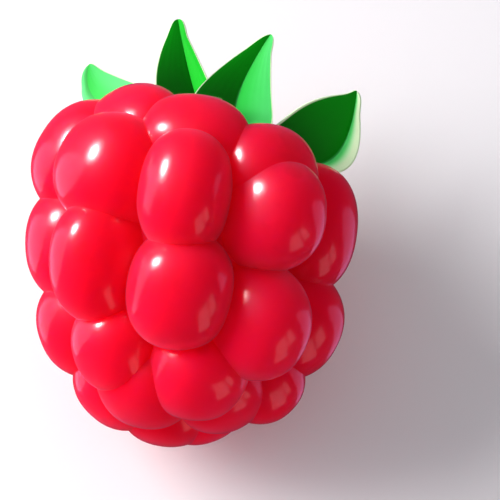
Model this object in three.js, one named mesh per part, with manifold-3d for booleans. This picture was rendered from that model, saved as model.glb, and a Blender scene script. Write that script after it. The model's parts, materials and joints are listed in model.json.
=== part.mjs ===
import * as THREE from 'three';
import { mergeVertices } from 'three/addons/utils/BufferGeometryUtils.js';
import Module from 'manifold-3d';

// A ripe raspberry, picked with its calyx and lying on its side. Millimetres and degrees.
// The fruit is drawn upright, with its axis on Z, the calyx at the top and its front towards -Y,
// and is then laid on its back. An azimuth is counted from the front towards +X.

// Egg on which the middles of the drupelets lie
const WAIST_HEIGHT = 3.5;
const WAIST_RADIUS = 8.1;
const EGG_ABOVE = 7.0;
const EGG_BELOW = 12.9;

// Flesh under the drupelets, as a share of the egg's radius, and its flat top under the calyx
const FLESH_SHARE = 0.93;
const FLESH_TOP = 8.8;
const FLESH_BOTTOM = -9.0;
const FLESH_STEPS = 12;
const FLESH_SIDES = 24;

// Drupelets: fullness above 2 squares the ball a little, as neighbours press on it
const FULLNESS = 2.25;
const BALL_DETAIL = 3;
const FACET_ALLOWANCE = 1.015;
const HEIGHT_JITTER = 0.25;
const SIZE_JITTER = 0.12;
const SEED = 7;
const RANDOM_FACTOR = 48271;
const RANDOM_MODULUS = 2147483647;

// The drupelets press on each other: each one is this many times its free size, in every direction,
// and sunk towards the axis so that its outermost point stays
const SWELLING = 1.22;

// Rows from the calyx to the tip. A placed drupelet is [azimuth, height, half width round the fruit,
// half length along it, half depth outwards, and how far it stands in from the egg].
// The spread ones fill the rest of the row evenly, from the last placed one round to the first.
const ROWS = [
  {
    placed: [
      [-64, 8.9, 3.4, 2.4, 2.4],
      [-7, 8.4, 3.0, 2.5, 2.3],
      [38, 6.9, 2.9, 2.55, 2.5],
      [92, 5.6, 2.5, 2.4, 2.2, 2.4],
      [145, 7.5, 3.0, 2.5, 2.4],
      [196, 8.1, 3.0, 2.5, 2.4],
      [244, 7.0, 2.9, 2.4, 2.3],
    ],
  },
  {
    placed: [
      [-92, 6.1, 3.2, 3.5, 3.5],
      [-48, 5.5, 3.2, 3.15, 3.2],
      [-6, 4.8, 2.45, 3.3, 3.1],
      [38, 4.1, 2.65, 3.1, 3.6],
      [86, 3.6, 3.1, 3.6, 2.8],
    ],
    spread: 3,
    size: [3.3, 3.5, 3.0],
  },
  {
    placed: [
      [-92, 0.4, 3.2, 3.3, 3.0],
      [-46, -0.4, 2.35, 3.5, 3.5],
      [-2, -1.7, 2.8, 3.15, 2.9],
      [43, -2.9, 2.7, 3.2, 3.9],
      [88, -2.7, 3.1, 3.3, 3.7],
    ],
    spread: 4,
    size: [3.0, 3.4, 3.0],
  },
  {
    placed: [
      [-92, -4.8, 3.0, 3.0, 3.1],
      [-42, -5.7, 2.4, 2.7, 2.8],
      [19, -6.7, 2.8, 2.7, 2.9],
      [84, -6.3, 2.8, 2.7, 3.7],
    ],
    spread: 3,
    size: [3.0, 3.0, 2.8],
  },
  {
    placed: [
      [-85, -8.3, 2.8, 2.8, 2.9],
      [-27, -8.0, 2.7, 2.7, 2.6],
      [58, -7.7, 2.8, 2.7, 2.7],
      [118, -8.9, 2.7, 2.7, 2.8],
    ],
    spread: 2,
    size: [2.7, 2.7, 2.6],
  },
  {
    placed: [[-29, -9.6, 2.6, 2.6, 2.5], [150, -9.5, 2.6, 2.6, 2.5]],
  },
];

// Calyx: a shallow disc in the crown's hollow, with five pointed sepals folded along their middle
const DISC_RADIUS_TOP = 2.4;
const DISC_RADIUS_BOTTOM = 1.9;
const DISC_BOTTOM = 9.1;
const DISC_TOP = 10.3;
const DISC_SIDES = 20;
const SEPAL_THICKNESS = 0.7;
const SEPAL_ROOT_RADIUS = 1.2;
const SEPAL_ROOT_HEIGHT = 9.95;
const SEPAL_STEPS = 9;
const SEPAL_COLUMNS = [-1, -0.5, 0, 0.5, 1];
const SEPAL_POINT_POWER = 1.8;
const SEPAL_BELLY = 0.25;
const SEPAL_BLUNT_TIP = 0.04;
const SEPAL_TURNED_AT = 0.5;
const FOLD_RISE = 32;

// Each sepal: azimuth of its root, its bend and tip as [x, y, z], the way its inner face looks once
// it has turned up, its half widths on the two sides of the fold, and how broad its root is beside them
const SEPALS = [
  {
    azimuth: -125,
    bend: [-8.8, 6.6, 9.8],
    tip: [-8.6, 5.0, 12.6],
    faces: [0.3, -0.85, 0.4],
    widths: [3.0, 1.6],
    root: 0.5,
  },
  {
    azimuth: -165,
    bend: [-2.2, 5.0, 11.5],
    tip: [-3.1, 6.5, 16.9],
    faces: [0.1, -0.95, 0.3],
    widths: [3.2, 1.8],
    root: 0.8,
  },
  {
    azimuth: 155,
    bend: [2.4, 5.0, 11.5],
    tip: [3.6, 6.0, 16.9],
    faces: [-0.1, -0.95, 0.3],
    widths: [3.0, 2.6],
    root: 1.0,
  },
  {
    azimuth: 95,
    bend: [9.2, 4.5, 7.8],
    tip: [9.9, 4.5, 13.5],
    faces: [-0.3, -0.85, 0.45],
    widths: [2.8, 4.6],
    root: 0.5,
  },
  {
    azimuth: -8,
    bend: [-0.2, -2.6, 10.6],
    tip: [-0.5, -4.0, 11.2],
    faces: [0, 0, 1],
    widths: [1.7, 1.7],
    root: 0.7,
  },
];

// Stub of the stalk, pinched off just above the calyx
const STALK_RADIUS_TOP = 0.8;
const STALK_RADIUS_BOTTOM = 0.95;
const STALK_TOP = 11.6;
const STALK_GAP = 0.3;
const STALK_SIDES = 14;

// Lying on the table: how far the calyx end points up, and how deep the lowest drupelets are flattened
const AXIS_RISE = 22;
const SPOT_DEPTH = 0.25;
const TABLE_SIZE = 60;

const wasm = await Module();
wasm.setup();

const radians = THREE.MathUtils.degToRad;

// A small repeatable random length, up to the amount either way
let randomState = SEED;
function jitter(amount) {
  randomState = (randomState * RANDOM_FACTOR) % RANDOM_MODULUS;
  return amount * ((randomState / RANDOM_MODULUS) * 2 - 1);
}

// The egg's radius at a height, and how far its outward direction points up there
function eggRadius(height) {
  const reach = height > WAIST_HEIGHT ? EGG_ABOVE : EGG_BELOW;
  const share = (height - WAIST_HEIGHT) / reach;
  return WAIST_RADIUS * Math.sqrt(Math.max(0, 1 - share * share));
}

function eggSlope(height) {
  const reach = height > WAIST_HEIGHT ? EGG_ABOVE : EGG_BELOW;
  return Math.atan2((height - WAIST_HEIGHT) / reach ** 2, eggRadius(height) / WAIST_RADIUS ** 2);
}

// A closed mesh as a solid, and a solid as a mesh's geometry
function toSolid(geometry) {
  const bare = geometry.clone();
  bare.deleteAttribute('normal');
  bare.deleteAttribute('uv');
  const merged = mergeVertices(bare, 1e-4);
  return new wasm.Manifold(new wasm.Mesh({
    numProp: 3,
    vertProperties: new Float32Array(merged.attributes.position.array),
    triVerts: new Uint32Array(merged.index.array),
  }));
}

function toGeometry(solid) {
  const mesh = solid.getMesh();
  const geometry = new THREE.BufferGeometry();
  geometry.setAttribute('position', new THREE.BufferAttribute(new Float32Array(mesh.vertProperties), 3));
  geometry.setIndex(new THREE.BufferAttribute(new Uint32Array(mesh.triVerts), 1));
  geometry.computeVertexNormals();
  return geometry;
}

function join(solids) {
  return solids.reduce((whole, piece) => whole.add(piece));
}

// One drupelet: a slightly squared ball, stretched to its half sizes and set on the egg
function drupelet([azimuth, height, halfWidth, halfLength, halfDepth, inset = 0]) {
  const geometry = new THREE.IcosahedronGeometry(1, BALL_DETAIL);
  const position = geometry.attributes.position;
  const point = new THREE.Vector3();
  for (let i = 0; i < position.count; i += 1) {
    point.fromBufferAttribute(position, i);
    const powers = point.toArray().map((value) => Math.abs(value) ** FULLNESS);
    const size = (powers[0] + powers[1] + powers[2]) ** (1 / FULLNESS);
    point.multiplyScalar(FACET_ALLOWANCE / size);
    position.setXYZ(i, point.x, point.y, point.z);
  }
  const angle = radians(azimuth);
  const slope = eggSlope(height);
  const sunk = (SWELLING - 1) * halfDepth;
  const radius = eggRadius(height) - inset;
  const outward = new THREE.Vector3(
    Math.sin(angle) * Math.cos(slope),
    -Math.cos(angle) * Math.cos(slope),
    Math.sin(slope),
  );
  const around = new THREE.Vector3(Math.cos(angle), Math.sin(angle), 0);
  const along = new THREE.Vector3().crossVectors(outward, around);
  const middle = new THREE.Vector3(radius * Math.sin(angle), -radius * Math.cos(angle), height);
  middle.addScaledVector(outward, -sunk);
  const place = new THREE.Matrix4().makeBasis(
    around.multiplyScalar(SWELLING * halfWidth),
    along.multiplyScalar(SWELLING * halfLength),
    outward.multiplyScalar(SWELLING * halfDepth),
  );
  place.setPosition(middle);
  return toSolid(geometry.applyMatrix4(place));
}

// The drupelets that fill the rest of a row, evenly spread from its last placed one round to its first
function spreadDrupelets({ placed, spread = 0, size }) {
  const [firstAzimuth, firstHeight] = placed[0];
  const [lastAzimuth, lastHeight] = placed[placed.length - 1];
  const rest = firstAzimuth + 360 - lastAzimuth;
  return Array.from({ length: spread }, (_, i) => {
    const share = (i + 1) / (spread + 1);
    const height = THREE.MathUtils.lerp(lastHeight, firstHeight, share) + jitter(HEIGHT_JITTER);
    return [lastAzimuth + rest * share, height, ...size.map((half) => half + jitter(SIZE_JITTER))];
  });
}

// The flesh in the middle, which every drupelet grows from
function flesh() {
  const profile = [new THREE.Vector2(0, FLESH_BOTTOM)];
  for (let i = 0; i <= FLESH_STEPS; i += 1) {
    const height = THREE.MathUtils.lerp(FLESH_BOTTOM, FLESH_TOP, i / FLESH_STEPS);
    profile.push(new THREE.Vector2(FLESH_SHARE * eggRadius(height), height));
  }
  profile.push(new THREE.Vector2(0, FLESH_TOP));
  return toSolid(new THREE.LatheGeometry(profile, FLESH_SIDES).rotateX(Math.PI / 2));
}

function fruitBody() {
  const pieces = [flesh()];
  for (const row of ROWS) {
    pieces.push(...row.placed.map(drupelet));
    pieces.push(...spreadDrupelets(row).map(drupelet));
  }
  return join(pieces);
}

// One sepal: a pointed blade on a bent middle line, its two halves folded up towards the inner face
function sepal({ azimuth, bend, tip, faces, widths, root: rootShare }) {
  const angle = radians(azimuth);
  const root = new THREE.Vector3(
    SEPAL_ROOT_RADIUS * Math.sin(angle),
    -SEPAL_ROOT_RADIUS * Math.cos(angle),
    SEPAL_ROOT_HEIGHT,
  );
  const middle = new THREE.QuadraticBezierCurve3(root, new THREE.Vector3(...bend), new THREE.Vector3(...tip));
  const up = new THREE.Vector3(0, 0, 1);
  const turned = new THREE.Vector3(...faces).normalize();
  const rise = radians(FOLD_RISE);
  const positions = [];
  for (let i = 0; i <= SEPAL_STEPS; i += 1) {
    const along = i / SEPAL_STEPS;
    const centre = middle.getPoint(along);
    const tangent = middle.getTangent(along);
    const opening = THREE.MathUtils.smoothstep(along, 0, SEPAL_TURNED_AT);
    const inner = up.clone().lerp(turned, opening);
    const side = new THREE.Vector3().crossVectors(tangent, inner).normalize();
    const normal = new THREE.Vector3().crossVectors(side, tangent).normalize();
    const pointed = Math.max(SEPAL_BLUNT_TIP, (1 - along ** SEPAL_POINT_POWER) * (1 + SEPAL_BELLY * along));
    const taper = pointed * THREE.MathUtils.lerp(rootShare, 1, opening);
    for (const face of [1, -1]) {
      for (const column of SEPAL_COLUMNS) {
        const width = column * (column < 0 ? widths[0] : widths[1]) * taper;
        const point = centre.clone();
        point.addScaledVector(side, width * Math.cos(rise));
        point.addScaledVector(normal, Math.abs(width) * Math.sin(rise) + face * SEPAL_THICKNESS / 2);
        positions.push(point.x, point.y, point.z);
      }
    }
  }
  return toSolid(bladeGeometry(positions, SEPAL_COLUMNS.length, SEPAL_STEPS));
}

// Skin over a blade's two faces, its edges and its ends, split into triangles alike on both faces
function bladeGeometry(positions, columns, steps) {
  const at = (step, face, column) => (step * 2 + face) * columns + column;
  const index = [];
  const quad = (a, b, c, d) => index.push(a, b, c, a, c, d);
  for (let i = 0; i < steps; i += 1) {
    for (let j = 0; j < columns - 1; j += 1) {
      quad(at(i, 0, j), at(i, 0, j + 1), at(i + 1, 0, j + 1), at(i + 1, 0, j));
      quad(at(i, 1, j), at(i + 1, 1, j), at(i + 1, 1, j + 1), at(i, 1, j + 1));
    }
    quad(at(i, 0, 0), at(i + 1, 0, 0), at(i + 1, 1, 0), at(i, 1, 0));
    const last = columns - 1;
    quad(at(i, 0, last), at(i, 1, last), at(i + 1, 1, last), at(i + 1, 0, last));
  }
  for (let j = 0; j < columns - 1; j += 1) {
    quad(at(0, 0, j), at(0, 1, j), at(0, 1, j + 1), at(0, 0, j + 1));
    quad(at(steps, 0, j), at(steps, 0, j + 1), at(steps, 1, j + 1), at(steps, 1, j));
  }
  const geometry = new THREE.BufferGeometry();
  geometry.setAttribute('position', new THREE.Float32BufferAttribute(positions, 3));
  geometry.setIndex(index);
  return geometry;
}

// A plain round peg on the fruit's axis
function peg(radiusTop, radiusBottom, bottom, top, sides) {
  const geometry = new THREE.CylinderGeometry(radiusTop, radiusBottom, top - bottom, sides);
  return toSolid(geometry.rotateX(Math.PI / 2).translate(0, 0, (top + bottom) / 2));
}

function calyxBody() {
  const disc = peg(DISC_RADIUS_TOP, DISC_RADIUS_BOTTOM, DISC_BOTTOM, DISC_TOP, DISC_SIDES);
  return join([disc, ...SEPALS.map(sepal)]);
}

function stalkBody() {
  return peg(STALK_RADIUS_TOP, STALK_RADIUS_BOTTOM, DISC_TOP + STALK_GAP, STALK_TOP, STALK_SIDES);
}

// Laying the fruit down on its back, calyx end a little higher than its tip
const laid = new THREE.Matrix4().makeRotationX(radians(AXIS_RISE - 90));

const lying = {
  drupelets: toGeometry(fruitBody()).applyMatrix4(laid),
  calyx: toGeometry(calyxBody()).applyMatrix4(laid),
  stalk: toGeometry(stalkBody()).applyMatrix4(laid),
};

// Flattening the lowest drupelets a little where they bear on the table
lying.drupelets.computeBoundingBox();
const tableHeight = lying.drupelets.boundingBox.min.z + SPOT_DEPTH;
const table = new THREE.BoxGeometry(TABLE_SIZE, TABLE_SIZE, TABLE_SIZE)
  .translate(0, 0, tableHeight - TABLE_SIZE / 2);
lying.drupelets = toGeometry(toSolid(lying.drupelets).subtract(toSolid(table)));

// Finishes
const FINISHES = {
  drupelets: new THREE.MeshStandardMaterial({ color: 0xe8102a, roughness: 0.22, metalness: 0 }),
  calyx: new THREE.MeshStandardMaterial({ color: 0x18a63a, roughness: 0.45, metalness: 0 }),
  stalk: new THREE.MeshStandardMaterial({ color: 0x7fae4e, roughness: 0.6, metalness: 0 }),
};

// The whole fruit, centred over the origin and standing on the ground
const raspberry = new THREE.Group();
for (const [name, geometry] of Object.entries(lying)) {
  const mesh = new THREE.Mesh(geometry, FINISHES[name]);
  mesh.name = name;
  raspberry.add(mesh);
}
const extent = new THREE.Box3().setFromObject(raspberry);
const centre = extent.getCenter(new THREE.Vector3());
raspberry.position.set(-centre.x, -centre.y, -extent.min.z);

export default raspberry;
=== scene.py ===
"""Dresses a ripe raspberry: glossy drupelets, five folded sepals and a short stub of stalk."""
import json
import logging
import math
from dataclasses import dataclass, field
from enum import Enum

import bmesh
import bpy
import numpy as np
from mathutils import Matrix, Vector

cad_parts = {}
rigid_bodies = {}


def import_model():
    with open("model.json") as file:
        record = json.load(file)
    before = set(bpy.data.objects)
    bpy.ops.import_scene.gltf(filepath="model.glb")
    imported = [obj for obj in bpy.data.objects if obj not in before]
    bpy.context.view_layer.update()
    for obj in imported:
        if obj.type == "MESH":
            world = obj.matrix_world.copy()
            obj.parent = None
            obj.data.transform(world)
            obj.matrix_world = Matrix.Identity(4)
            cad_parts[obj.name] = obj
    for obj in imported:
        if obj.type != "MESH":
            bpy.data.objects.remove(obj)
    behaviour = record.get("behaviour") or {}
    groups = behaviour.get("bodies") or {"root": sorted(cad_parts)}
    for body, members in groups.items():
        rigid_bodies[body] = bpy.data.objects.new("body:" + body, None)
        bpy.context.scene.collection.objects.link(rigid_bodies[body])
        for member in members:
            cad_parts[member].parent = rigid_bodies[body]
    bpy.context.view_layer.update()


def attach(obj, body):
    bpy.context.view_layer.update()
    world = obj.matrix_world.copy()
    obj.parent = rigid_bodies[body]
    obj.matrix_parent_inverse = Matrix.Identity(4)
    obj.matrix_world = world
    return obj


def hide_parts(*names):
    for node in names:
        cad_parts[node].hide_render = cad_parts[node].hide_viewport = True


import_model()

LOG = logging.getLogger("raspberry")
MM = 0.001

# Step that spreads tones evenly over neighbours
GOLDEN_SHARE = 0.618034

# Rise in millimetres under which an edge counts as level
LEVEL = 1e-6

Colour = tuple[float, float, float, float]
Triple = tuple[float, float, float]
Span = tuple[float, float]
Socket = bpy.types.NodeSocket


# Frames, small numbers and meshes


class Part(Enum):
    """The pieces of the part, by the name of the solid that each one dresses."""

    DRUPELETS = "drupelets"
    CALYX = "calyx"
    STALK = "stalk"


class Coat(Enum):
    """The material slots of the part."""

    FLESH = "flesh"
    SEPAL = "sepal"
    STALK = "stalk"


@dataclass(frozen=True)
class Lie:
    """How the fruit lies on the table: its axis a little above level, its front turned up."""

    axis_rise: float = 22.0
    offset: Triple = (0.1655, -3.27475, 10.09018)

    def turn(self) -> Matrix:
        """Turn from the fruit's own axes, with the calyx up, to the table's."""
        return Matrix.Rotation(math.radians(self.axis_rise - 90.0), 4, "X")

    def matrix(self) -> Matrix:
        """Place in metres on the table of a point of the fruit in millimetres."""
        return Matrix.Scale(MM, 4) @ Matrix.Translation(self.offset) @ self.turn()


class Steps:
    """A row of small steps that is the same on every run."""

    def __init__(self, seed: int = 7, factor: int = 48271, modulus: int = 2147483647) -> None:
        """Starts the row.

        Args:
            seed: First state.
            factor: Multiplier from one state to the next.
            modulus: Size of the ring of states.
        """
        self.state = seed
        self.factor = factor
        self.modulus = modulus

    def step(self, amount: float) -> float:
        """Next step of the row.

        Args:
            amount: Largest size of the step.

        Returns:
            A number between minus and plus the amount.
        """
        self.state = (self.state * self.factor) % self.modulus
        return amount * (self.state / self.modulus * 2 - 1)


def mixed(low: float, high: float, share: float) -> float:
    """The number at a share of the way from low to high."""
    return low + (high - low) * share


def finished_mesh(bm: bmesh.types.BMesh, name: str) -> bpy.types.Mesh:
    """Makes a mesh of what has been modelled, and frees the model.

    Args:
        bm: What has been modelled.
        name: Name of the new mesh.

    Returns:
        The mesh.
    """
    mesh = bpy.data.meshes.new(name)
    bm.to_mesh(mesh)
    bm.free()
    return mesh


def smoothed(bm: bmesh.types.BMesh, crease_angle: float) -> None:
    """Turns faces outwards and shades them smooth, with sharp creases between them.

    Args:
        bm: Closed shells.
        crease_angle: Angle in degrees from which an edge is a crease.
    """
    bmesh.ops.recalc_face_normals(bm, faces=bm.faces)
    for face in bm.faces:
        face.smooth = True
    limit = math.radians(crease_angle)
    for edge in bm.edges:
        edge.smooth = edge.calc_face_angle(0.0) < limit


def rounded_cone(bm: bmesh.types.BMesh, heights: Span, radii: Span, sides: int, rounding: float) -> None:
    """Models a short upright cone with its point cut off and its two rims rounded.

    Args:
        bm: Empty model to make it in.
        heights: Its bottom and its top.
        radii: Its radius at the bottom and at the top.
        sides: Number of flat sides round it.
        rounding: How far the rounding reaches from each rim.
    """
    bottom, top = heights
    bmesh.ops.create_cone(
        bm,
        cap_ends=True,
        segments=sides,
        radius1=radii[0],
        radius2=radii[1],
        depth=top - bottom,
        matrix=Matrix.Translation((0, 0, (top + bottom) / 2)),
    )
    rims = [edge for edge in bm.edges if abs(edge.verts[0].co.z - edge.verts[1].co.z) < LEVEL]
    bmesh.ops.bevel(
        bm,
        geom=rims,
        offset=rounding,
        affect="EDGES",
        segments=3,
        profile=0.5,
        material=-1,
    )


def finished_object(name: str, mesh: bpy.types.Mesh, material: bpy.types.Material) -> bpy.types.Object:
    """Puts a mesh in the scene with its finish.

    Args:
        name: Name of the new object.
        mesh: Mesh with its place in its vertices.
        material: Finish of the whole piece.

    Returns:
        The object, at the origin.
    """
    mesh.materials.clear()
    mesh.materials.append(material)
    piece = bpy.data.objects.new(name, mesh)
    bpy.context.scene.collection.objects.link(piece)
    return piece


def baked_mesh(name: str, source: bpy.types.Object) -> bpy.types.Mesh:
    """A plain mesh of an object with its modifiers applied.

    Args:
        name: Name of the new mesh.
        source: Object with modifiers.

    Returns:
        The mesh as the modifiers leave it.
    """
    bpy.context.view_layer.update()
    graph = bpy.context.evaluated_depsgraph_get()
    mesh = bpy.data.meshes.new_from_object(source.evaluated_get(graph))
    mesh.name = name
    return mesh


def handed_over(piece: bpy.types.Object, part: Part) -> None:
    """Attaches a finished piece to the fruit's root body and hides the solid that it dresses.

    Args:
        piece: Finished piece.
        part: Solid that it dresses.
    """
    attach(piece, "root")
    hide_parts(part.value)
    LOG.info("%s: %d faces", piece.name, len(piece.data.polygons))


# Finishes


class Nodes:
    """A material's tree, with short ways to add and join its nodes."""

    def __init__(self, name: str) -> None:
        """Makes an empty material with a shader and an output.

        Args:
            name: Name of the new material.
        """
        self.material = bpy.data.materials.new(name)
        self.material.use_nodes = True
        self.tree = self.material.node_tree
        self.tree.nodes.clear()
        self.output = self.tree.nodes.new("ShaderNodeOutputMaterial")
        self.shader = self.tree.nodes.new("ShaderNodeBsdfPrincipled")
        self.join(self.shader.outputs["BSDF"], self.output.inputs["Surface"])

    def join(self, start: Socket, end: Socket) -> None:
        """Links one socket to another."""
        self.tree.links.new(start, end)

    def set(self, **values: float | Colour | Triple) -> None:
        """Sets the shader's plain numbers, with underscores for the spaces in their names."""
        for key, value in values.items():
            self.shader.inputs[key.replace("_", " ")].default_value = value

    def attribute(self, name: str) -> Socket:
        """A number kept on the piece's own points.

        Args:
            name: Name that the piece keeps it under.

        Returns:
            The number.
        """
        node = self.tree.nodes.new("ShaderNodeAttribute")
        node.attribute_type = "GEOMETRY"
        node.attribute_name = name
        return node.outputs["Fac"]

    def noise(self, scale: float, detail: float, stretch: Triple = (1, 1, 1)) -> Socket:
        """Cloudy pattern on the piece's own coordinates.

        Args:
            scale: Clouds in a metre.
            detail: Finer clouds within them.
            stretch: Scale along each axis.

        Returns:
            A number around one half.
        """
        place = self.tree.nodes.new("ShaderNodeTexCoord")
        turned = self.tree.nodes.new("ShaderNodeMapping")
        turned.inputs["Scale"].default_value = stretch
        node = self.tree.nodes.new("ShaderNodeTexNoise")
        node.inputs["Scale"].default_value = scale
        node.inputs["Detail"].default_value = detail
        self.join(place.outputs["Object"], turned.inputs["Vector"])
        self.join(turned.outputs["Vector"], node.inputs["Vector"])
        return node.outputs["Fac"]

    def ranged(
        self,
        value: Socket,
        low: float,
        high: float,
        to_low: float = 0.0,
        to_high: float = 1.0,
    ) -> Socket:
        """Carries a number from one range to another, smoothly and held at its ends.

        Args:
            value: Number to carry over.
            low: Start of its range.
            high: End of its range.
            to_low: Result at the start.
            to_high: Result at the end.

        Returns:
            The number in its new range.
        """
        node = self.tree.nodes.new("ShaderNodeMapRange")
        node.interpolation_type = "SMOOTHSTEP"
        for key, number in zip(("From Min", "From Max", "To Min", "To Max"), (low, high, to_low, to_high)):
            node.inputs[key].default_value = number
        self.join(value, node.inputs["Value"])
        return node.outputs["Result"]

    def maths(
        self,
        operation: str,
        first: Socket,
        second: Socket | float = 0.0,
    ) -> Socket:
        """One calculation on one or two numbers.

        Args:
            operation: Name of the calculation.
            first: Its first number.
            second: Its second number, where it has one.

        Returns:
            The result.
        """
        node = self.tree.nodes.new("ShaderNodeMath")
        node.operation = operation
        self.join(first, node.inputs[0])
        if isinstance(second, Socket):
            self.join(second, node.inputs[1])
        else:
            node.inputs[1].default_value = second
        return node.outputs["Value"]

    def blend(
        self,
        share: Socket,
        first: Socket | Colour,
        second: Socket | Colour,
    ) -> Socket:
        """Mix of two colours.

        Args:
            share: Share of the second colour, from 0 to 1.
            first: Colour at 0.
            second: Colour at 1.

        Returns:
            The mixed colour.
        """
        node = self.tree.nodes.new("ShaderNodeMix")
        node.data_type = "RGBA"
        self.join(share, node.inputs["Factor"])

        # The colour sockets go by number, because the node's other sockets have the same names
        for socket, colour in zip((node.inputs[6], node.inputs[7]), (first, second)):
            if isinstance(colour, Socket):
                self.join(colour, socket)
            else:
                socket.default_value = colour
        return node.outputs[2]

    def relief(self, height: Socket, distance: float, strength: float) -> None:
        """Fine relief on the shader's surface.

        Args:
            height: Height from 0 to 1.
            distance: What a height of 1 stands for, in metres.
            strength: Share of the relief that shows.
        """
        node = self.tree.nodes.new("ShaderNodeBump")
        node.inputs["Distance"].default_value = distance
        node.inputs["Strength"].default_value = strength
        self.join(height, node.inputs["Height"])
        self.join(node.outputs["Normal"], self.shader.inputs["Normal"])

    def colour(self, value: Socket) -> None:
        """Gives the shader its colour."""
        self.join(value, self.shader.inputs["Base Color"])


@dataclass(frozen=True)
class RipeSkin:
    """Tight glossy skin of a ripe drupelet over wet red flesh."""

    crown: Colour = (0.94, 0.002, 0.034, 1)
    deep: Colour = (0.74, 0.0, 0.020, 1)
    # Colour of the painted shade in the creases between drupelets
    painted_crease_shade: Colour = (0.70, 0.0, 0.010, 1)
    seed_shade: Colour = (0.74, 0.0, 0.014, 1)
    tone_share: float = 0.6
    crease_shade_share: float = 0.35
    seed_share: float = 0.45
    seed_edge: Span = (0.60, 0.74)
    seed_clouds: float = 420.0
    skin_clouds: float = 900.0
    skin_relief: float = 0.00002

    def make(self) -> bpy.types.Material:
        """Builds the finish.

        Returns:
            The material.
        """
        nodes = Nodes("ripe_skin")
        tone = nodes.ranged(nodes.attribute("tone"), 0.0, 1.0, to_high=self.tone_share)
        flesh = nodes.blend(tone, self.crown, self.deep)
        seeds = nodes.noise(self.seed_clouds, detail=2.0)
        seeds = nodes.ranged(seeds, *self.seed_edge, to_high=self.seed_share)
        flesh = nodes.blend(seeds, flesh, self.seed_shade)
        # Painted shade: the skin is darkened towards the crease shade colour near the creases between
        # drupelets and on the flesh between them
        low = nodes.ranged(nodes.attribute("painted_crease_shade"), 0.0, 1.0, to_high=self.crease_shade_share)
        nodes.colour(nodes.blend(low, flesh, self.painted_crease_shade))
        nodes.relief(nodes.noise(self.skin_clouds, detail=1.0), self.skin_relief, strength=0.25)
        nodes.set(
            Roughness=0.5,
            IOR=1.45,
            Specular_IOR_Level=0.35,
            Specular_Tint=(1.0, 0.5, 0.85, 1),
            Subsurface_Weight=1.0,
            Subsurface_Radius=(1.0, 0.06, 0.08),
            Subsurface_Scale=0.006,
            Coat_Weight=1.0,
            Coat_Roughness=0.13,
            Coat_IOR=1.4,
            Sheen_Weight=0.3,
            Sheen_Roughness=0.45,
            Sheen_Tint=(1.0, 0.24, 0.46, 1),
        )
        return nodes.material


@dataclass(frozen=True)
class SepalSkin:
    """Green sepal with painted shade and painted light: darker towards its root and to the left of its
    fold, painted bright to the right of it, with a painted highlight along its edges and fine veins along
    it.

    A span along, across or in paleness is where a change begins and ends, and a depth is how strong
    it is at either end.
    """

    # Painted shade: deep is the colour at the root and, with leaf, the colour on the left of the fold
    deep: Colour = (0.0, 0.12, 0.001, 1)
    leaf: Colour = (0.0, 0.32, 0.004, 1)
    # Painted light: colours of the lit right side of the fold and of the parts painted pale
    painted_lit_green: Colour = (0.0, 0.50, 0.012, 1)
    mint: Colour = (0.16, 0.92, 0.30, 1)
    # Painted highlight: the pale colour of the edge line and of the broad lit strip
    rim: Colour = (0.72, 0.97, 0.60, 1)
    vein_count: float = 34.0
    vein_relief: float = 0.00003
    cloud_scale: float = 160.0
    cloud_edge: Span = (0.25, 0.70)
    cloud_depth: Span = (0.6, 1.0)
    root_shade_along: Span = (0.15, 0.95)
    lit_side_across: Span = (-0.02, 0.02)
    pale_across: Span = (0.05, 0.9)
    pale_depth: Span = (0.4, 1.0)
    lit_strip_across: Span = (0.25, 0.8)
    lit_strip_paleness: Span = (1.0, 1.5)
    rim_across: Span = (0.965, 0.985)

    def make(self) -> bpy.types.Material:
        """Builds the finish.

        Returns:
            The material.
        """
        nodes = Nodes("sepal_skin")
        along = nodes.attribute("along")
        across = nodes.attribute("across")
        side = nodes.maths("ABSOLUTE", across)
        clouds = nodes.noise(self.cloud_scale, detail=3.0)
        clouds = nodes.ranged(clouds, *self.cloud_edge, *self.cloud_depth)
        # Painted shade: darker towards the root
        body = nodes.blend(nodes.ranged(along, *self.root_shade_along), self.deep, self.leaf)
        # Painted shade and painted light: the left of the fold stays dark, the right of the fold is
        # painted bright
        body = nodes.blend(nodes.ranged(across, *self.lit_side_across), body, self.painted_lit_green)
        # Painted light: pale mint on the sides painted as lit, as strong as their lit paleness and mottled
        # by the clouds
        pale = nodes.maths("MULTIPLY", nodes.ranged(side, *self.pale_across, *self.pale_depth), clouds)
        lit_paleness = nodes.attribute("pale")
        body = nodes.blend(nodes.maths("MULTIPLY", pale, lit_paleness), body, self.mint)
        # Painted light: a broad paler strip where the lit paleness is above 1
        outer = nodes.ranged(side, *self.lit_strip_across)
        painted_lit_strip = nodes.maths("MULTIPLY", nodes.ranged(lit_paleness, *self.lit_strip_paleness), outer)
        body = nodes.blend(painted_lit_strip, body, self.rim)
        # Painted highlight: a thin pale line along the edges
        edge = nodes.maths("MULTIPLY", nodes.ranged(side, *self.rim_across), nodes.attribute("rim"))
        nodes.colour(nodes.blend(edge, body, self.rim))
        wave = nodes.maths("SINE", nodes.maths("MULTIPLY", across, self.vein_count))
        nodes.relief(nodes.ranged(wave, -1.0, 1.0), self.vein_relief, strength=0.15)
        nodes.set(
            Roughness=0.55,
            Specular_IOR_Level=0.08,
            Subsurface_Weight=0.05,
            Subsurface_Radius=(0.05, 1.0, 0.05),
            Subsurface_Scale=0.0005,
        )
        return nodes.material


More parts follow.
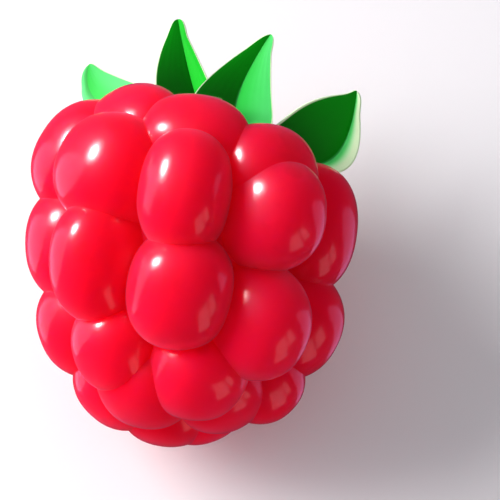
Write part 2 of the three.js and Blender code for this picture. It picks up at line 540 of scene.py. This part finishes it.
@dataclass(frozen=True)
class StalkSkin:
    """Young green stalk with fine fibres and a paler cut end."""

    bark: Colour = (0.10, 0.22, 0.03, 1)
    fibre: Colour = (0.26, 0.38, 0.10, 1)
    cut: Colour = (0.55, 0.60, 0.28, 1)
    fibre_scale: float = 5200.0
    fibre_relief: float = 0.00004
    fibre_stretch: Triple = (1.0, 0.12, 0.3)
    fibre_edge: Span = (0.35, 0.65)

    def make(self) -> bpy.types.Material:
        """Builds the finish.

        Returns:
            The material.
        """
        nodes = Nodes("stalk_skin")
        fibres = nodes.noise(self.fibre_scale, detail=3.0, stretch=self.fibre_stretch)
        body = nodes.blend(nodes.ranged(fibres, *self.fibre_edge), self.bark, self.fibre)
        nodes.colour(nodes.blend(nodes.attribute("cut"), body, self.cut))
        nodes.relief(fibres, self.fibre_relief, strength=0.5)
        nodes.set(Roughness=0.7, Specular_IOR_Level=0.3)
        return nodes.material


@dataclass(frozen=True)
class TableTop:
    """Plain pale table under the fruit."""

    pale: Colour = (0.92, 0.92, 0.93, 1)
    paler: Colour = (0.95, 0.95, 0.955, 1)
    cloud_scale: float = 6.0

    def make(self) -> bpy.types.Material:
        """Builds the finish.

        Returns:
            The material.
        """
        nodes = Nodes("table_top")
        clouds = nodes.noise(self.cloud_scale, detail=2.0)
        nodes.colour(nodes.blend(clouds, self.pale, self.paler))
        nodes.set(Roughness=0.75, Specular_IOR_Level=0.2)
        return nodes.material


# Fruit


@dataclass(frozen=True)
class Egg:
    """Egg that the middles of the drupelets lie on, in millimetres."""

    waist_height: float = 3.5
    waist_radius: float = 8.1
    above: float = 7.0
    below: float = 12.9

    def reach(self, height: float) -> float:
        """Half height of the egg on the side of the waist that a height is on."""
        return self.above if height >= self.waist_height else self.below

    def radius(self, height: float) -> float:
        """Radius of the egg at a height."""
        share = (height - self.waist_height) / self.reach(height)
        return self.waist_radius * math.sqrt(max(0.0, 1 - share * share))

    def slope(self, height: float) -> float:
        """Angle above level that the egg's surface faces at a height."""
        rise = (height - self.waist_height) / self.reach(height) ** 2
        return math.atan2(rise, self.radius(height) / self.waist_radius**2)


@dataclass(frozen=True)
class Drupelet:
    """One squarish ball of flesh on the egg, in millimetres and degrees."""

    azimuth: float
    height: float
    half_width: float
    half_length: float
    half_depth: float
    inset: float = 0.0

    def place(self, egg: Egg, swelling: float) -> Matrix:
        """Turn, size and place of the drupelet in the fruit's own axes.

        Args:
            egg: Egg that it sits on.
            swelling: How many times its free size it is, with its outermost point kept.

        Returns:
            Matrix that carries the unit ball to the drupelet.
        """
        turn = math.radians(self.azimuth)
        slope = egg.slope(self.height)
        ahead = Vector((math.sin(turn), -math.cos(turn), 0.0))
        around = Vector((math.cos(turn), math.sin(turn), 0.0))
        outward = ahead * math.cos(slope) + Vector((0.0, 0.0, math.sin(slope)))
        along = outward.cross(around)
        middle = ahead * (egg.radius(self.height) - self.inset) + Vector((0.0, 0.0, self.height))
        middle -= outward * (swelling - 1.0) * self.half_depth
        halves = (around * self.half_width, along * self.half_length, outward * self.half_depth)
        return Matrix.Translation(middle) @ (Matrix(halves).transposed() * swelling).to_4x4()


@dataclass(frozen=True)
class Row:
    """One ring of drupelets: those given one by one, and those spread evenly over the rest of it."""

    placed: tuple[Drupelet, ...]
    spread: int = 0
    size: Triple = (0.0, 0.0, 0.0)

    def fill(self, steps: Steps, height_step: float, size_step: float) -> list[Drupelet]:
        """All the drupelets of the ring.

        Args:
            steps: Row of small steps for the spread ones.
            height_step: Largest step in height.
            size_step: Largest step in each half size.

        Returns:
            The drupelets, in order round the fruit.
        """
        first, last = self.placed[0], self.placed[-1]
        rest = first.azimuth + 360.0 - last.azimuth
        ring = list(self.placed)
        for i in range(self.spread):
            share = (i + 1) / (self.spread + 1)
            height = mixed(last.height, first.height, share) + steps.step(height_step)
            sizes = [half + steps.step(size_step) for half in self.size]
            ring.append(Drupelet(last.azimuth + rest * share, height, *sizes))
        return ring


def ring(*placed: tuple[float, ...], spread: int = 0, size: Triple = (0.0, 0.0, 0.0)) -> Row:
    """A ring from its drupelets' numbers, in the order of a Drupelet's fields."""
    return Row(tuple(Drupelet(*numbers) for numbers in placed), spread, size)


RINGS: tuple[Row, ...] = (
    ring(
        (-64, 8.9, 3.4, 2.4, 2.4),
        (-7, 8.4, 3.0, 2.5, 2.3),
        (38, 6.9, 2.9, 2.55, 2.5),
        (92, 5.6, 2.5, 2.4, 2.2, 2.4),
        (145, 7.5, 3.0, 2.5, 2.4),
        (196, 8.1, 3.0, 2.5, 2.4),
        (244, 7.0, 2.9, 2.4, 2.3),
    ),
    ring(
        (-92, 6.1, 3.2, 3.5, 3.5),
        (-48, 5.5, 3.2, 3.15, 3.2),
        (-6, 4.8, 2.45, 3.3, 3.1),
        (38, 4.1, 2.65, 3.1, 3.6),
        (86, 3.6, 3.1, 3.6, 2.8),
        spread=3,
        size=(3.3, 3.5, 3.0),
    ),
    ring(
        (-92, 0.4, 3.2, 3.3, 3.0),
        (-46, -0.4, 2.35, 3.5, 3.5),
        (-2, -1.7, 2.8, 3.15, 2.9),
        (43, -2.9, 2.7, 3.2, 3.9),
        (88, -2.7, 3.1, 3.3, 3.7),
        spread=4,
        size=(3.0, 3.4, 3.0),
    ),
    ring(
        (-92, -4.8, 3.0, 3.0, 3.1),
        (-42, -5.7, 2.4, 2.7, 2.8),
        (19, -6.7, 2.8, 2.7, 2.9),
        (84, -6.3, 2.8, 2.7, 3.7),
        spread=3,
        size=(3.0, 3.0, 2.8),
    ),
    ring(
        (-85, -8.3, 2.8, 2.8, 2.9),
        (-27, -8.0, 2.7, 2.7, 2.6),
        (58, -7.7, 2.8, 2.7, 2.7),
        (118, -8.9, 2.7, 2.7, 2.8),
        spread=2,
        size=(2.7, 2.7, 2.6),
    ),
    ring((-29, -9.6, 2.6, 2.6, 2.5), (150, -9.5, 2.6, 2.6, 2.5)),
)


@dataclass
class Berry:
    """The drupelets and the flesh under them, grown together into one piece.

    Each drupelet is a squarish ball, swelling times its free size with its outermost point kept. A
    fullness of 2 would make it round, and swell sets its skin a little further out.
    """

    lie: Lie = field(default_factory=Lie)
    egg: Egg = field(default_factory=Egg)
    swelling: float = 1.22
    fullness: float = 2.25
    swell: float = 1.006
    ball_detail: int = 5
    height_step: float = 0.25
    size_step: float = 0.12
    flesh_share: float = 0.93
    flesh_top: float = 8.8
    flesh_bottom: float = -9.0
    flesh_steps: int = 36
    flesh_sides: int = 72
    crease_angle: float = 20.0
    crease_shade_width: float = 0.16
    skin_reach: float = 1.01
    axis_weld: float = 1e-5
    seam_weld: float = 2e-6
    cut_weld: float = 1e-7
    skin: RipeSkin = field(default_factory=RipeSkin)

    def drupelets(self) -> list[Drupelet]:
        """Every drupelet, ring by ring from the calyx down."""
        steps = Steps()
        return [one for row in RINGS for one in row.fill(steps, self.height_step, self.size_step)]

    def ball(self, place: Matrix) -> bpy.types.Mesh:
        """One drupelet's skin.

        Args:
            place: Matrix that carries the unit ball to the table.

        Returns:
            A closed mesh, in metres.
        """
        bm = bmesh.new()
        bmesh.ops.create_icosphere(bm, subdivisions=self.ball_detail, radius=1.0)
        for vertex in bm.verts:
            vertex.co *= self.swell / float(self.size_of(np.array([vertex.co]))[0])
        bmesh.ops.transform(bm, matrix=place, verts=bm.verts)
        return self.closed(bm, "drupelet")

    def size_of(self, local: np.ndarray) -> np.ndarray:
        """How large the squarish ball through each point is.

        Args:
            local: Points in a drupelet's own unit axes, a row each.

        Returns:
            One number for each point, 1 on the drupelet's skin.
        """
        return (np.abs(local) ** self.fullness).sum(axis=1) ** (1 / self.fullness)

    def flesh(self) -> bpy.types.Mesh:
        """The flesh under the drupelets, spun from half its outline.

        Returns:
            A closed mesh, in metres.
        """
        bm = bmesh.new()
        shares = [i / self.flesh_steps for i in range(self.flesh_steps + 1)]
        heights = [mixed(self.flesh_bottom, self.flesh_top, share) for share in shares]
        side = [(self.egg.radius(height) * self.flesh_share, height) for height in heights]
        outline = [(0.0, heights[0]), *side, (0.0, heights[-1])]
        points = [bm.verts.new((radius, 0.0, height)) for radius, height in outline]
        edges = [bm.edges.new(pair) for pair in zip(points, points[1:])]
        bmesh.ops.spin(
            bm,
            geom=points + edges,
            cent=(0, 0, 0),
            axis=(0, 0, 1),
            angle=math.tau,
            steps=self.flesh_sides,
            use_merge=True,
        )
        bmesh.ops.remove_doubles(bm, verts=bm.verts, dist=self.axis_weld)
        bmesh.ops.transform(bm, matrix=self.lie.matrix(), verts=bm.verts)
        return self.closed(bm, "flesh")

    def closed(self, bm: bmesh.types.BMesh, name: str) -> bpy.types.Mesh:
        """Turns a closed shell's faces outwards and makes a mesh of it."""
        bmesh.ops.recalc_face_normals(bm, faces=bm.faces)
        return finished_mesh(bm, name)

    def grown(self, places: list[Matrix]) -> bpy.types.Mesh:
        """Joins the flesh and the drupelets into one skin.

        Args:
            places: Triple of each drupelet.

        Returns:
            One closed mesh.
        """
        pile = bpy.data.collections.new("pile")
        bpy.context.scene.collection.children.link(pile)
        for place in places:
            pile.objects.link(bpy.data.objects.new("drupelet", self.ball(place)))
        flesh = bpy.data.objects.new("flesh", self.flesh())
        bpy.context.scene.collection.objects.link(flesh)
        union = flesh.modifiers.new("grown_together", "BOOLEAN")
        union.operation = "UNION"
        union.operand_type = "COLLECTION"
        union.collection = pile
        union.solver = "MANIFOLD"
        mesh = baked_mesh("drupelets_skin", flesh)
        for thing in [flesh, *pile.objects]:
            bpy.data.objects.remove(thing)
        bpy.data.collections.remove(pile)
        return mesh

    def set_down(self, mesh: bpy.types.Mesh) -> None:
        """Flattens the fruit where it rests, and marks its creases sharp.

        Args:
            mesh: The whole skin.
        """
        bm = bmesh.new()
        bm.from_mesh(mesh)
        bmesh.ops.remove_doubles(bm, verts=bm.verts, dist=self.seam_weld)
        everything = bm.verts[:] + bm.edges[:] + bm.faces[:]
        bmesh.ops.bisect_plane(
            bm,
            geom=everything,
            dist=self.cut_weld,
            plane_co=(0, 0, 0),
            plane_no=(0, 0, 1),
            clear_inner=True,
        )
        bmesh.ops.holes_fill(bm, edges=[edge for edge in bm.edges if edge.is_boundary], sides=0)
        bmesh.ops.triangulate(bm, faces=[face for face in bm.faces if len(face.verts) > 4])
        smoothed(bm, self.crease_angle)
        bm.to_mesh(mesh)
        bm.free()

    def mark(self, mesh: bpy.types.Mesh, places: list[Matrix]) -> None:
        """Keeps on each point how near a crease it is, which sets the painted crease shade, and which tone
        its drupelet has.

        Args:
            mesh: The whole skin.
            places: Triple of each drupelet.
        """
        points = np.empty(len(mesh.vertices) * 3)
        mesh.vertices.foreach_get("co", points)
        points = np.c_[points.reshape(-1, 3), np.ones(len(mesh.vertices))]
        sizes = []
        for place in places:
            sizes.append(self.size_of((points @ np.array(place.inverted()).T)[:, :3]))
        sizes = np.array(sizes) / self.swell
        owner = sizes.argmin(axis=0)
        near = np.sort(sizes, axis=0)[1]
        painted_crease_shade = np.exp(-np.maximum(0.0, near - 1.0) / self.crease_shade_width)

        # What lies outside every drupelet is the flesh between them, which gets the full painted crease
        # shade
        painted_crease_shade[sizes.min(axis=0) > self.skin_reach] = 1.0
        tones = np.array([(i * GOLDEN_SHARE) % 1.0 for i in range(len(places))])
        for name, values in (("painted_crease_shade", painted_crease_shade), ("tone", tones[owner])):
            layer = mesh.attributes.new(name, "FLOAT", "POINT")
            layer.data.foreach_set("value", values.astype(np.float32))

    def build(self) -> bpy.types.Object:
        """Builds the drupelets as one dressed piece.

        Returns:
            The piece.
        """
        places = [self.lie.matrix() @ one.place(self.egg, self.swelling) for one in self.drupelets()]
        mesh = self.grown(places)
        self.set_down(mesh)
        self.mark(mesh, places)
        piece = finished_object("ripe_drupelets", mesh, self.skin.make())
        handed_over(piece, Part.DRUPELETS)
        return piece


# Calyx


@dataclass(frozen=True)
class Sepal:
    """One folded green blade, in millimetres and degrees.

    Its fold runs from the root, past the bend, to the tip. Left and right say how far its edges lie
    off the fold halfway along, and spread how they draw in towards the root and towards the tip.
    Lit paleness is how strongly the left side and the right are painted pale as if lit, and rim how strong
    the painted highlight along the edges is.
    """

    azimuth: float
    bend: Triple
    tip: Triple
    left: Triple
    right: Triple
    spread: Span
    lit_paleness: Span
    rim: float = 1.0


SEPALS: tuple[Sepal, ...] = (
    Sepal(
        azimuth=-125,
        bend=(-8.9, 6.1, 8.7),
        tip=(-8.6, 5.0, 12.8),
        left=(-0.8, 0.1, -0.5),
        right=(1.97, -0.8, 1.8),
        spread=(0.8, 1.0),
        lit_paleness=(1.0, 0.7),
    ),
    Sepal(
        azimuth=-170,
        bend=(-1.9, 5.1, 13.2),
        tip=(-3.0, 6.2, 16.85),
        left=(-2.17, -1.2, 0.11),
        right=(0.75, -0.5, 0.58),
        spread=(0.15, 0.85),
        lit_paleness=(0.0, 0.0),
    ),
    Sepal(
        azimuth=115,
        bend=(1.5, 5.5, 12.5),
        tip=(3.5, 5.8, 16.7),
        left=(-2.3, -1.2, 0.15),
        right=(1.95, -1.1, -0.25),
        spread=(0.15, 0.85),
        lit_paleness=(0.0, 0.55),
    ),
    Sepal(
        azimuth=85,
        bend=(10.3, 6.2, 4.5),
        tip=(9.9, 4.5, 13.5),
        left=(-2.6, -1.9, 3.17),
        right=(1.09, -0.9, -0.33),
        spread=(1.5, 1.1),
        lit_paleness=(0.0, 1.5),
    ),
    Sepal(
        azimuth=-8,
        bend=(-0.4, -2.8, 10.4),
        tip=(-0.5, -3.6, 10.1),
        left=(-1.3, 0.1, 0.1),
        right=(1.3, 0.1, 0.1),
        spread=(0.3, 0.8),
        lit_paleness=(0.1, 0.1),
        rim=0.1,
    ),
)


@dataclass
class Calyx:
    """The disc at the fruit's crown and the five sepals that stand round it."""

    lie: Lie = field(default_factory=Lie)
    sepals: tuple[Sepal, ...] = SEPALS
    root_radius: float = 2.0
    root_height: float = 9.95
    root_share: float = 0.3
    fold_softness: float = 0.03
    tip_radius: float = 0.3
    tip_reach: float = 6.0
    blunt_tip: float = 0.03
    tip_rows: float = 1.6
    thickness: float = 0.5
    edge_share: float = 0.3
    edge_thinning: int = 3
    tip_thinning: int = 6
    crease_angle: float = 38.0
    columns: int = 28
    rows: int = 40
    disc_top: float = 10.3
    disc_bottom: float = 9.1
    disc_radius_top: float = 2.37
    disc_radius_bottom: float = 1.88
    disc_round: float = 0.15
    disc_sides: int = 64
    skin: SepalSkin = field(default_factory=SepalSkin)

    def point(self, sepal: Sepal, along: float, column: float) -> Vector:
        """A point of a sepal's middle sheet.

        Args:
            sepal: Sepal that the point is on.
            along: Share of the way from root to tip.
            column: Share of the way from the fold to the left edge, -1, or the right, 1.

        Returns:
            The point in the fruit's own axes.
        """
        angle = math.radians(sepal.azimuth)
        ahead = Vector((math.sin(angle), -math.cos(angle), 0.0))
        root = ahead * self.root_radius + Vector((0.0, 0.0, self.root_height))
        bend, tip = Vector(sepal.bend), Vector(sepal.tip)
        fold = root * (1 - along) ** 2 + bend * 2 * along * (1 - along) + tip * along**2
        left, right = (self.off_fold(sepal, Vector(edge), along) for edge in (sepal.left, sepal.right))
        soft = math.hypot(column, self.fold_softness) - self.fold_softness
        return fold + left * (soft - column) / 2 + right * (soft + column) / 2

    def off_fold(self, sepal: Sepal, halfway: Vector, along: float) -> Vector:
        """How far an edge lies off the fold.

        Args:
            sepal: Sepal that the edge is on.
            halfway: Triple of the edge off the fold at half its length.
            along: Share of the way from root to tip.

        Returns:
            The way from the fold to the edge, in the fruit's own axes.
        """
        early, late = sepal.spread
        share = (2 * along) ** early * (2 * (1 - along)) ** late
        to_tip = 2 * (1 - along) * (Vector(sepal.tip) - Vector(sepal.bend)).length
        fading = max(0.0, 1 - to_tip / (self.tip_reach * self.tip_radius))
        rounding = math.sqrt(2 * self.tip_radius * to_tip) * fading
        neck = self.root_share * (1 - along) ** 3
        return halfway * max(self.blunt_tip, neck, math.hypot(share, rounding / halfway.length))

    def blade(self, sepal: Sepal) -> bpy.types.Mesh:
        """One sepal with its thickness, thinning towards its edges and its tip.

        Args:
            sepal: Sepal to make.

        Returns:
            A closed mesh in metres, with its along and across numbers on its points.
        """
        bm = bmesh.new()
        along = bm.verts.layers.float.new("along")
        across = bm.verts.layers.float.new("across")
        pale = bm.verts.layers.float.new("pale")
        rim = bm.verts.layers.float.new("rim")
        weights = bm.verts.layers.deform.verify()
        bmesh.ops.create_grid(bm, x_segments=self.columns, y_segments=self.rows, size=1.0)
        for vertex in bm.verts:
            vertex[across] = vertex.co.x
            vertex[along] = 1 - ((1 - vertex.co.y) / 2) ** self.tip_rows
            # The pale and rim numbers carry the strength of the painted light and of the painted edge
            # highlight
            vertex[pale] = sepal.lit_paleness[0 if vertex[across] < 0 else 1]
            vertex[rim] = sepal.rim
            thick_across = 1 - abs(vertex[across]) ** self.edge_thinning
            vertex[weights][0] = thick_across * (1 - vertex[along] ** self.tip_thinning)
            vertex.co = self.point(sepal, vertex[along], vertex[across])
        bmesh.ops.transform(bm, matrix=self.lie.matrix(), verts=bm.verts)
        sheet = bpy.data.objects.new("sepal", finished_mesh(bm, "sepal"))
        bpy.context.scene.collection.objects.link(sheet)
        sheet.vertex_groups.new(name="body")
        wall = sheet.modifiers.new("thickness", "SOLIDIFY")
        wall.thickness = self.thickness * MM
        wall.offset = 0.0
        wall.vertex_group = "body"
        wall.thickness_vertex_group = self.edge_share
        made = baked_mesh("sepal", sheet)
        bpy.data.objects.remove(sheet)
        return made

    def disc(self, bm: bmesh.types.BMesh) -> None:
        """Models the disc that the sepals grow from.

        Args:
            bm: Empty model of the calyx.
        """
        heights = (self.disc_bottom, self.disc_top)
        radii = (self.disc_radius_bottom, self.disc_radius_top)
        rounded_cone(bm, heights, radii, self.disc_sides, self.disc_round)
        bmesh.ops.transform(bm, matrix=self.lie.matrix(), verts=bm.verts)

    def build(self) -> bpy.types.Object:
        """Builds the calyx as one dressed piece.

        Returns:
            The piece.
        """
        bm = bmesh.new()
        self.disc(bm)
        for sepal in self.sepals:
            bm.from_mesh(self.blade(sepal))
        smoothed(bm, self.crease_angle)
        mesh = finished_mesh(bm, "calyx_blades")
        piece = finished_object("green_calyx", mesh, self.skin.make())
        handed_over(piece, Part.CALYX)
        return piece


@dataclass
class Stalk:
    """The short stub of stalk over the calyx, cut across."""

    lie: Lie = field(default_factory=Lie)
    radius_top: float = 0.78
    radius_bottom: float = 0.92
    bottom: float = 10.6
    top: float = 11.4
    segments: int = 48
    edge_round: float = 0.1
    cut_inset: float = 0.05
    cut_depth: float = 1e-4
    crease_angle: float = 35.0
    skin: StalkSkin = field(default_factory=StalkSkin)

    def build(self) -> bpy.types.Object:
        """Builds the stub as one dressed piece.

        Returns:
            The piece.
        """
        bm = bmesh.new()
        cut = bm.verts.layers.float.new("cut")
        heights = (self.bottom, self.top)
        rounded_cone(bm, heights, (self.radius_bottom, self.radius_top), self.segments, self.edge_round)
        ends = [face for face in bm.faces if len(face.verts) > 4]
        bmesh.ops.inset_region(bm, faces=ends, thickness=self.cut_inset, depth=0.0)
        for vertex in bm.verts:
            vertex[cut] = 1.0 if vertex.co.z > self.top - self.cut_depth else 0.0
        smoothed(bm, self.crease_angle)
        bmesh.ops.transform(bm, matrix=self.lie.matrix(), verts=bm.verts)
        mesh = finished_mesh(bm, "stalk_stub")
        piece = finished_object("stalk_stub", mesh, self.skin.make())
        handed_over(piece, Part.STALK)
        return piece


# Studio


@dataclass(frozen=True)
class Eye:
    """The camera, square to the fruit's front and rolled a little."""

    lie: Lie = field(default_factory=Lie)
    roll: float = 8.0
    distance: float = 150.0
    lens: float = 162.0
    sensor: float = 36.0
    nearest: float = 5.0
    aim: Triple = (4.2, 1.0667, 0.0)

    def axes(self) -> Matrix:
        """How the camera is turned on the table.

        Returns:
            A turn with the camera's right, up and back as its columns.
        """
        roll = math.radians(self.roll)
        right = Vector((math.cos(roll), 0.0, math.sin(roll)))
        up = Vector((-math.sin(roll), 0.0, math.cos(roll)))
        return self.lie.turn().to_3x3() @ Matrix((right, up, right.cross(up))).transposed()

    def seen(self, place: Triple) -> Vector:
        """A place on the table, in metres, from millimetres right, up and back of the fruit's middle."""
        return (self.axes() @ Vector(place) + Vector(self.lie.offset)) * MM

    def build(self) -> None:
        """Makes the camera and gives it to the scene."""
        data = bpy.data.cameras.new("eye")
        data.lens = self.lens
        data.sensor_width = self.sensor
        data.clip_start = self.nearest * MM
        camera = bpy.data.objects.new("eye", data)
        place = self.seen((0, 0, self.distance))
        back = (place - self.seen(self.aim)).normalized()
        right = self.axes().col[1].cross(back).normalized()
        turn = Matrix((right, back.cross(right), back)).transposed()
        camera.matrix_world = Matrix.Translation(place) @ turn.to_4x4()
        bpy.context.scene.collection.objects.link(camera)
        bpy.context.scene.camera = camera


class Pane(Enum):
    """Outline of a lamp's bright face."""

    ROUND = "ELLIPSE"
    SQUARE = "RECTANGLE"


class Reach(Enum):
    """What a lamp does: lights the surfaces softly, or shows as a highlight in the gloss."""

    WASH = "wash"
    GLOSS = "gloss"


@dataclass(frozen=True)
class Lamp:
    """One soft light, placed as seen from the camera, in millimetres, as bright at any size."""

    name: str
    place: Triple
    size: Span
    brightness: float
    colour: Triple = (1.0, 1.0, 1.0)
    pane: Pane = Pane.ROUND
    reach: Reach = Reach.GLOSS

    def build(self, eye: Eye) -> None:
        """Hangs the light.

        Args:
            eye: Camera that its place is measured from.
        """
        data = bpy.data.lights.new(self.name, "AREA")
        data.shape = self.pane.value
        data.size, data.size_y = (side * MM for side in self.size)
        area = data.size * data.size_y * (math.pi / 4 if self.pane is Pane.ROUND else 1.0)
        data.energy = self.brightness * math.pi * area
        data.color = self.colour
        lamp = bpy.data.objects.new(self.name, data)
        lamp.visible_camera = False
        lamp.visible_diffuse = self.reach is not Reach.GLOSS
        lamp.visible_glossy = self.reach is not Reach.WASH
        place = eye.seen(self.place)
        back = (place - eye.seen((0.0, 0.0, 0.0))).normalized()
        lamp.matrix_world = Matrix.Translation(place) @ back.to_track_quat("Z", "Y").to_matrix().to_4x4()
        bpy.context.scene.collection.objects.link(lamp)


LAMPS: tuple[Lamp, ...] = (
    Lamp("key", (-155, 90, 95), (140, 140), 9.6, (1.0, 0.98, 0.98), reach=Reach.WASH),
    Lamp("key_core", (-138, 121, 86), (52, 52), 52.0, reach=Reach.GLOSS),
    Lamp("key_ring", (-139, 122, 87), (84, 84), 13.0, reach=Reach.GLOSS),
    Lamp("key_halo", (-140, 123, 88), (124, 124), 3.5, reach=Reach.GLOSS),
    Lamp("left_wash", (-190, 50, 50), (150, 130), 4.6, (1.0, 0.85, 0.94), Pane.SQUARE, Reach.WASH),
    Lamp("left_haze", (-185, 20, -50), (150, 300), 1.9, (1.0, 0.50, 0.76), Pane.ROUND, Reach.GLOSS),
    Lamp("right_edge", (190, 0, -10), (60, 200), 1.2, (0.80, 0.66, 1.0), Pane.SQUARE, Reach.WASH),
    Lamp("right_haze", (170, -20, -90), (100, 300), 0.8, (0.80, 0.45, 0.95), Pane.ROUND, Reach.GLOSS),
    Lamp("window_left", (92, -104, 42), (56, 104), 1.3, (1.0, 0.66, 0.70), Pane.SQUARE, Reach.GLOSS),
    Lamp("window_right", (130, -66, 42), (32, 70), 1.3, (1.0, 0.66, 0.70), Pane.SQUARE, Reach.GLOSS),
)


@dataclass
class Studio:
    """Pale table, soft lights, pale air and the camera."""

    eye: Eye = field(default_factory=Eye)
    lamps: tuple[Lamp, ...] = LAMPS
    table_size: float = 1.2
    air: Colour = (0.92, 0.92, 0.96, 1)
    air_strength: float = 0.42
    top: TableTop = field(default_factory=TableTop)

    def table(self) -> None:
        """Lays the table under the fruit."""
        bm = bmesh.new()
        bmesh.ops.create_grid(bm, x_segments=1, y_segments=1, size=self.table_size / 2)
        table = finished_object("table", finished_mesh(bm, "table"), self.top.make())
        table.visible_glossy = False

    def build(self) -> None:
        """Sets the studio up."""
        self.table()
        world = bpy.data.worlds.new("pale_air")
        world.use_nodes = True
        shade = world.node_tree.nodes["Background"]
        shade.inputs["Color"].default_value = self.air
        shade.inputs["Strength"].default_value = self.air_strength
        world.cycles_visibility.glossy = False
        bpy.context.scene.world = world
        bpy.context.scene.view_settings.view_transform = "Standard"
        for lamp in self.lamps:
            lamp.build(self.eye)
        self.eye.build()
        LOG.info("studio: %d lamps", len(self.lamps))


def main() -> None:
    """Builds every piece in order, then the studio."""
    logging.basicConfig(level=logging.INFO, format="%(name)s: %(message)s")
    Berry().build()
    Calyx().build()
    Stalk().build()
    Studio().build()


if __name__ == "__main__":
    main()
